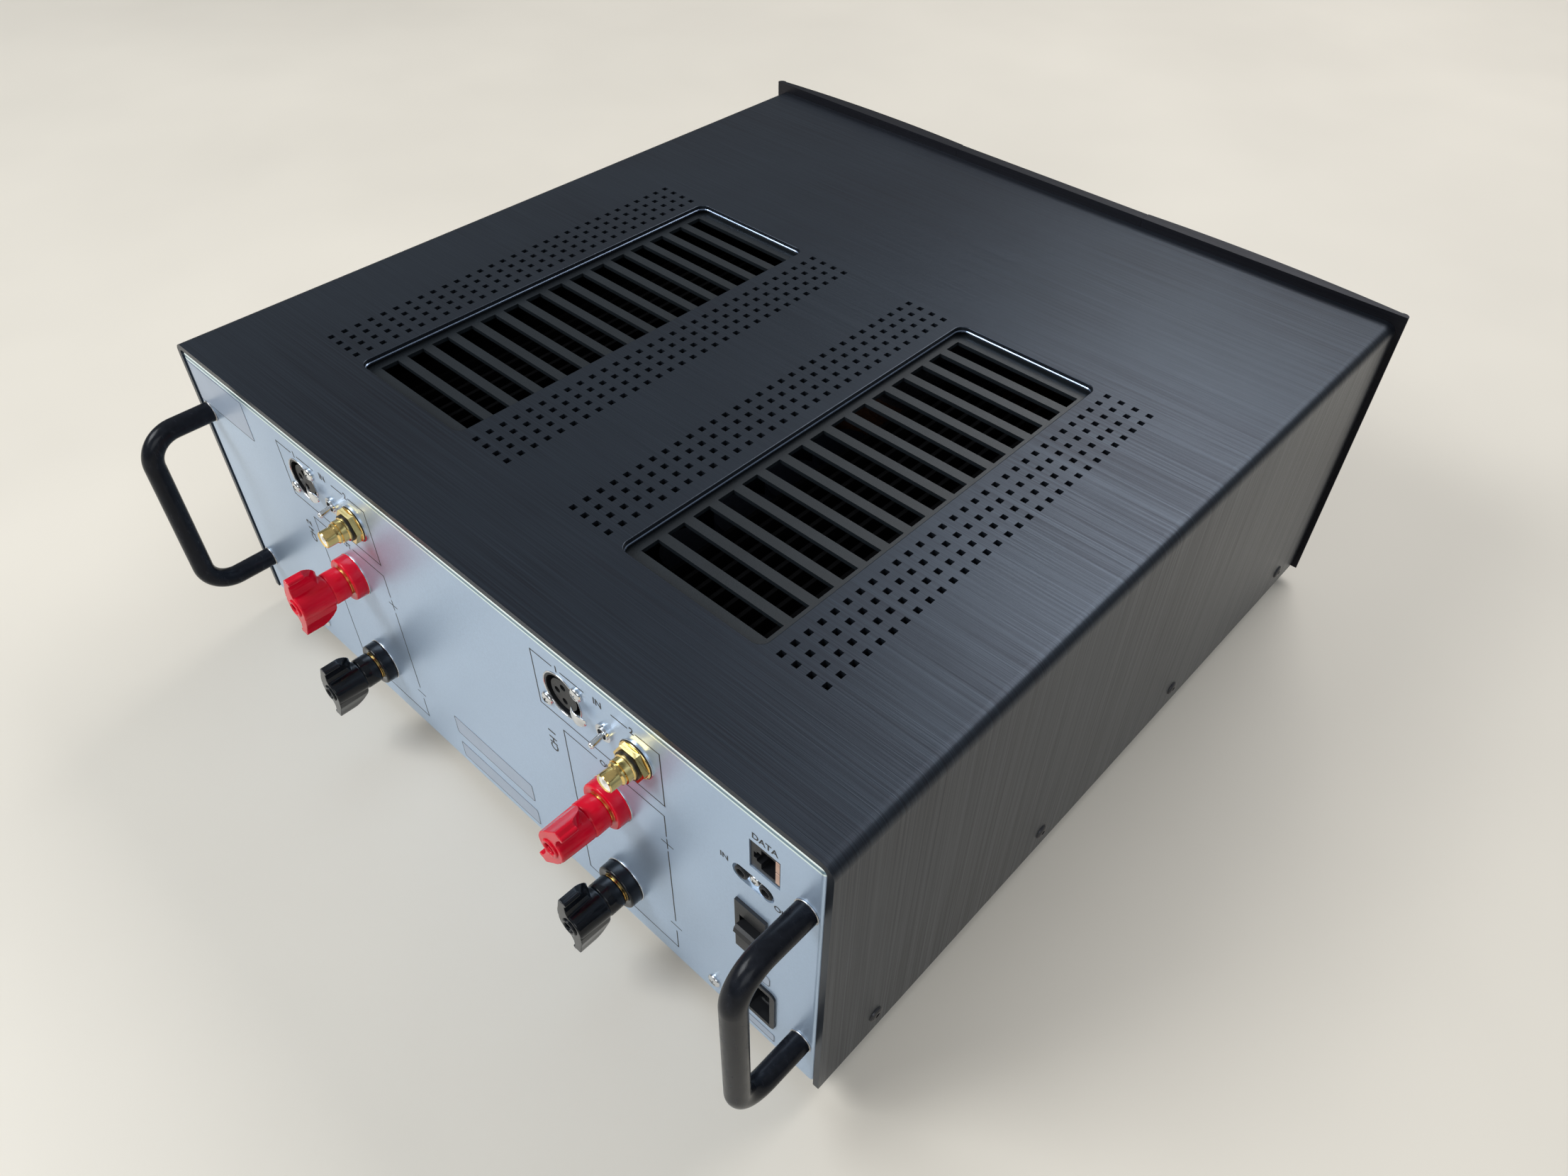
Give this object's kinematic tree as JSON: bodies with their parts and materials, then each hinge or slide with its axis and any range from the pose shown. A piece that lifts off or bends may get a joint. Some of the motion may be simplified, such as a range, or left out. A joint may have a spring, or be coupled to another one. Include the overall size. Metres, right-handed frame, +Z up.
{
  "type": "power amplifier",
  "caption": "Free-standing stereo power amplifier with a perforated wrap-around cover, two rear handles, balanced and phono inputs and winged loudspeaker posts",
  "frame": {"origin": "On the floor, under the middle of the whole object's bounding box.", "axes": "+Z is up, the front panel faces -Y, the connector panel faces +Y, and +X is the observer's right when looking at the front."},
  "size_m": [0.44, 0.4887, 0.1853],
  "materials": {
    "blue_black_cover": "satin, brushed across",
    "satin_panel": "satin",
    "front_aluminium": "dark anodised, brushed",
    "dark_steel": "matte",
    "satin_black_metal": "satin",
    "screw_black": "satin",
    "screw_chrome": "polished",
    "gold": "polished",
    "black_plastic": "satin",
    "white_plastic": "satin",
    "gloss_red": "gloss",
    "gloss_black": "gloss",
    "dark_washer": "satin",
    "shield_metal": "satin",
    "button_metal": "satin",
    "light_glass": "clear",
    "foot_plastic": "matte",
    "foot_rubber": "matte",
    "toroid_wrap": "gloss",
    "capacitor_sleeve": "gloss",
    "rectifier_body": "matte",
    "sink_aluminium": "dark anodised",
    "transistor_body": "matte",
    "board_green": "satin"
  },
  "bodies": {
    "case": {"top_cover": "blue_black_cover", "rear_panel": "satin_panel", "base_tray": "satin_panel", "front_panel_centre": "front_aluminium", "front_cheek_left": "front_aluminium", "front_cheek_right": "front_aluminium", "front_subpanel": "dark_steel", "vent_grille_left": "dark_steel", "vent_grille_right": "dark_steel", "rear_handle_left": "satin_black_metal", "rear_handle_right": "satin_black_metal", "handle_washers": "satin_black_metal", "cover_screws": "screw_black", "rear_panel_screws": "screw_chrome", "handle_screws": "screw_chrome", "toggle_nuts": "screw_chrome", "toggle_switch_1": "screw_chrome", "toggle_switch_2": "screw_chrome", "inlet_pins": "screw_chrome", "transformer_clamp": "screw_chrome", "xlr_contacts": "gold", "rca_shell_1": "gold", "rca_shell_2": "gold", "rca_nuts": "gold", "post_studs": "gold", "xlr_socket_1": "black_plastic", "xlr_socket_2": "black_plastic", "rocker_housing": "black_plastic", "mains_inlet": "black_plastic", "trigger_jacks": "black_plastic", "rca_insulators": "white_plastic", "post_collars_red": "gloss_red", "post_collars_black": "gloss_black", "network_jack": "shield_metal", "status_light": "light_glass", "feet": "foot_plastic", "foot_pads": "foot_rubber", "power_transformer": "toroid_wrap", "reservoir_capacitors": "capacitor_sleeve", "bridge_rectifiers": "rectifier_body", "heatsink_left": "sink_aluminium", "heatsink_right": "sink_aluminium", "output_transistors": "transistor_body", "amplifier_boards": "board_green", "input_board": "board_green", "supply_board": "board_green"},
    "toggle_lever_1": {"toggle_lever_1": "screw_chrome"},
    "xlr_latch_1": {"xlr_latch_1": "screw_chrome"},
    "post_washer_red_1": {"post_washer_red_1": "dark_washer"},
    "post_knob_red_1": {"post_knob_red_1": "gloss_red"},
    "post_washer_black_1": {"post_washer_black_1": "dark_washer"},
    "post_knob_black_1": {"post_knob_black_1": "gloss_black"},
    "toggle_lever_2": {"toggle_lever_2": "screw_chrome"},
    "xlr_latch_2": {"xlr_latch_2": "screw_chrome"},
    "post_washer_red_2": {"post_washer_red_2": "dark_washer"},
    "post_knob_red_2": {"post_knob_red_2": "gloss_red"},
    "post_washer_black_2": {"post_washer_black_2": "dark_washer"},
    "post_knob_black_2": {"post_knob_black_2": "gloss_black"},
    "rocker_paddle": {"rocker_paddle": "black_plastic"},
    "standby_button": {"standby_button": "button_metal"}
  },
  "joints": [
    {"name": "toggle_tilt_1", "type": "hinge", "parent": "case", "child": "toggle_lever_1", "pos_m": [-0.1025, 0.20212, 0.15], "axis": [1, 0, 0], "range_deg": [0, 25]},
    {"name": "xlr_latch_press_1", "type": "hinge", "parent": "case", "child": "xlr_latch_1", "pos_m": [-0.0864, 0.19662, 0.15], "axis": [0, 0, 1], "range_deg": [0, 5], "stiffness_Nm_per_rad": 0.6},
    {"name": "post_travel_red_1", "type": "slide", "parent": "case", "child": "post_washer_red_1", "axis": [0, 1, 0], "range_m": [0, 0.004]},
    {"name": "post_turn_red_1", "type": "hinge", "parent": "post_washer_red_1", "child": "post_knob_red_1", "pos_m": [-0.1005, 0.22312, 0.1047], "axis": [0, -1, 0], "range_deg": [0, 1440]},
    {"name": "post_travel_black_1", "type": "slide", "parent": "case", "child": "post_washer_black_1", "axis": [0, 1, 0], "range_m": [0, 0.004]},
    {"name": "post_turn_black_1", "type": "hinge", "parent": "post_washer_black_1", "child": "post_knob_black_1", "pos_m": [-0.1005, 0.22312, 0.0427], "axis": [0, -1, 0], "range_deg": [0, 1440]},
    {"name": "toggle_tilt_2", "type": "hinge", "parent": "case", "child": "toggle_lever_2", "pos_m": [0.0875, 0.20212, 0.15], "axis": [1, 0, 0], "range_deg": [0, 25]},
    {"name": "xlr_latch_press_2", "type": "hinge", "parent": "case", "child": "xlr_latch_2", "pos_m": [0.1036, 0.19662, 0.15], "axis": [0, 0, 1], "range_deg": [0, 5], "stiffness_Nm_per_rad": 0.6},
    {"name": "post_travel_red_2", "type": "slide", "parent": "case", "child": "post_washer_red_2", "axis": [0, 1, 0], "range_m": [0, 0.004]},
    {"name": "post_turn_red_2", "type": "hinge", "parent": "post_washer_red_2", "child": "post_knob_red_2", "pos_m": [0.0895, 0.22312, 0.1047], "axis": [0, -1, 0], "range_deg": [0, 1440]},
    {"name": "post_travel_black_2", "type": "slide", "parent": "case", "child": "post_washer_black_2", "axis": [0, 1, 0], "range_m": [0, 0.004]},
    {"name": "post_turn_black_2", "type": "hinge", "parent": "post_washer_black_2", "child": "post_knob_black_2", "pos_m": [0.0895, 0.22312, 0.0427], "axis": [0, -1, 0], "range_deg": [0, 1440]},
    {"name": "rocker_tilt", "type": "hinge", "parent": "case", "child": "rocker_paddle", "pos_m": [-0.1795, 0.19712, 0.095], "axis": [1, 0, 0], "range_deg": [-30, 0]},
    {"name": "standby_press", "type": "slide", "parent": "case", "child": "standby_button", "axis": [0, 1, 0], "range_m": [0, 0.0006], "stiffness_N_per_m": 400}
  ],
  "couplings": [
    {"joint": "post_turn_red_1", "follows": "post_travel_red_1", "rad_per_m": 6283.2},
    {"joint": "post_turn_black_1", "follows": "post_travel_black_1", "rad_per_m": 6283.2},
    {"joint": "post_turn_red_2", "follows": "post_travel_red_2", "rad_per_m": 6283.2},
    {"joint": "post_turn_black_2", "follows": "post_travel_black_2", "rad_per_m": 6283.2}
  ]
}
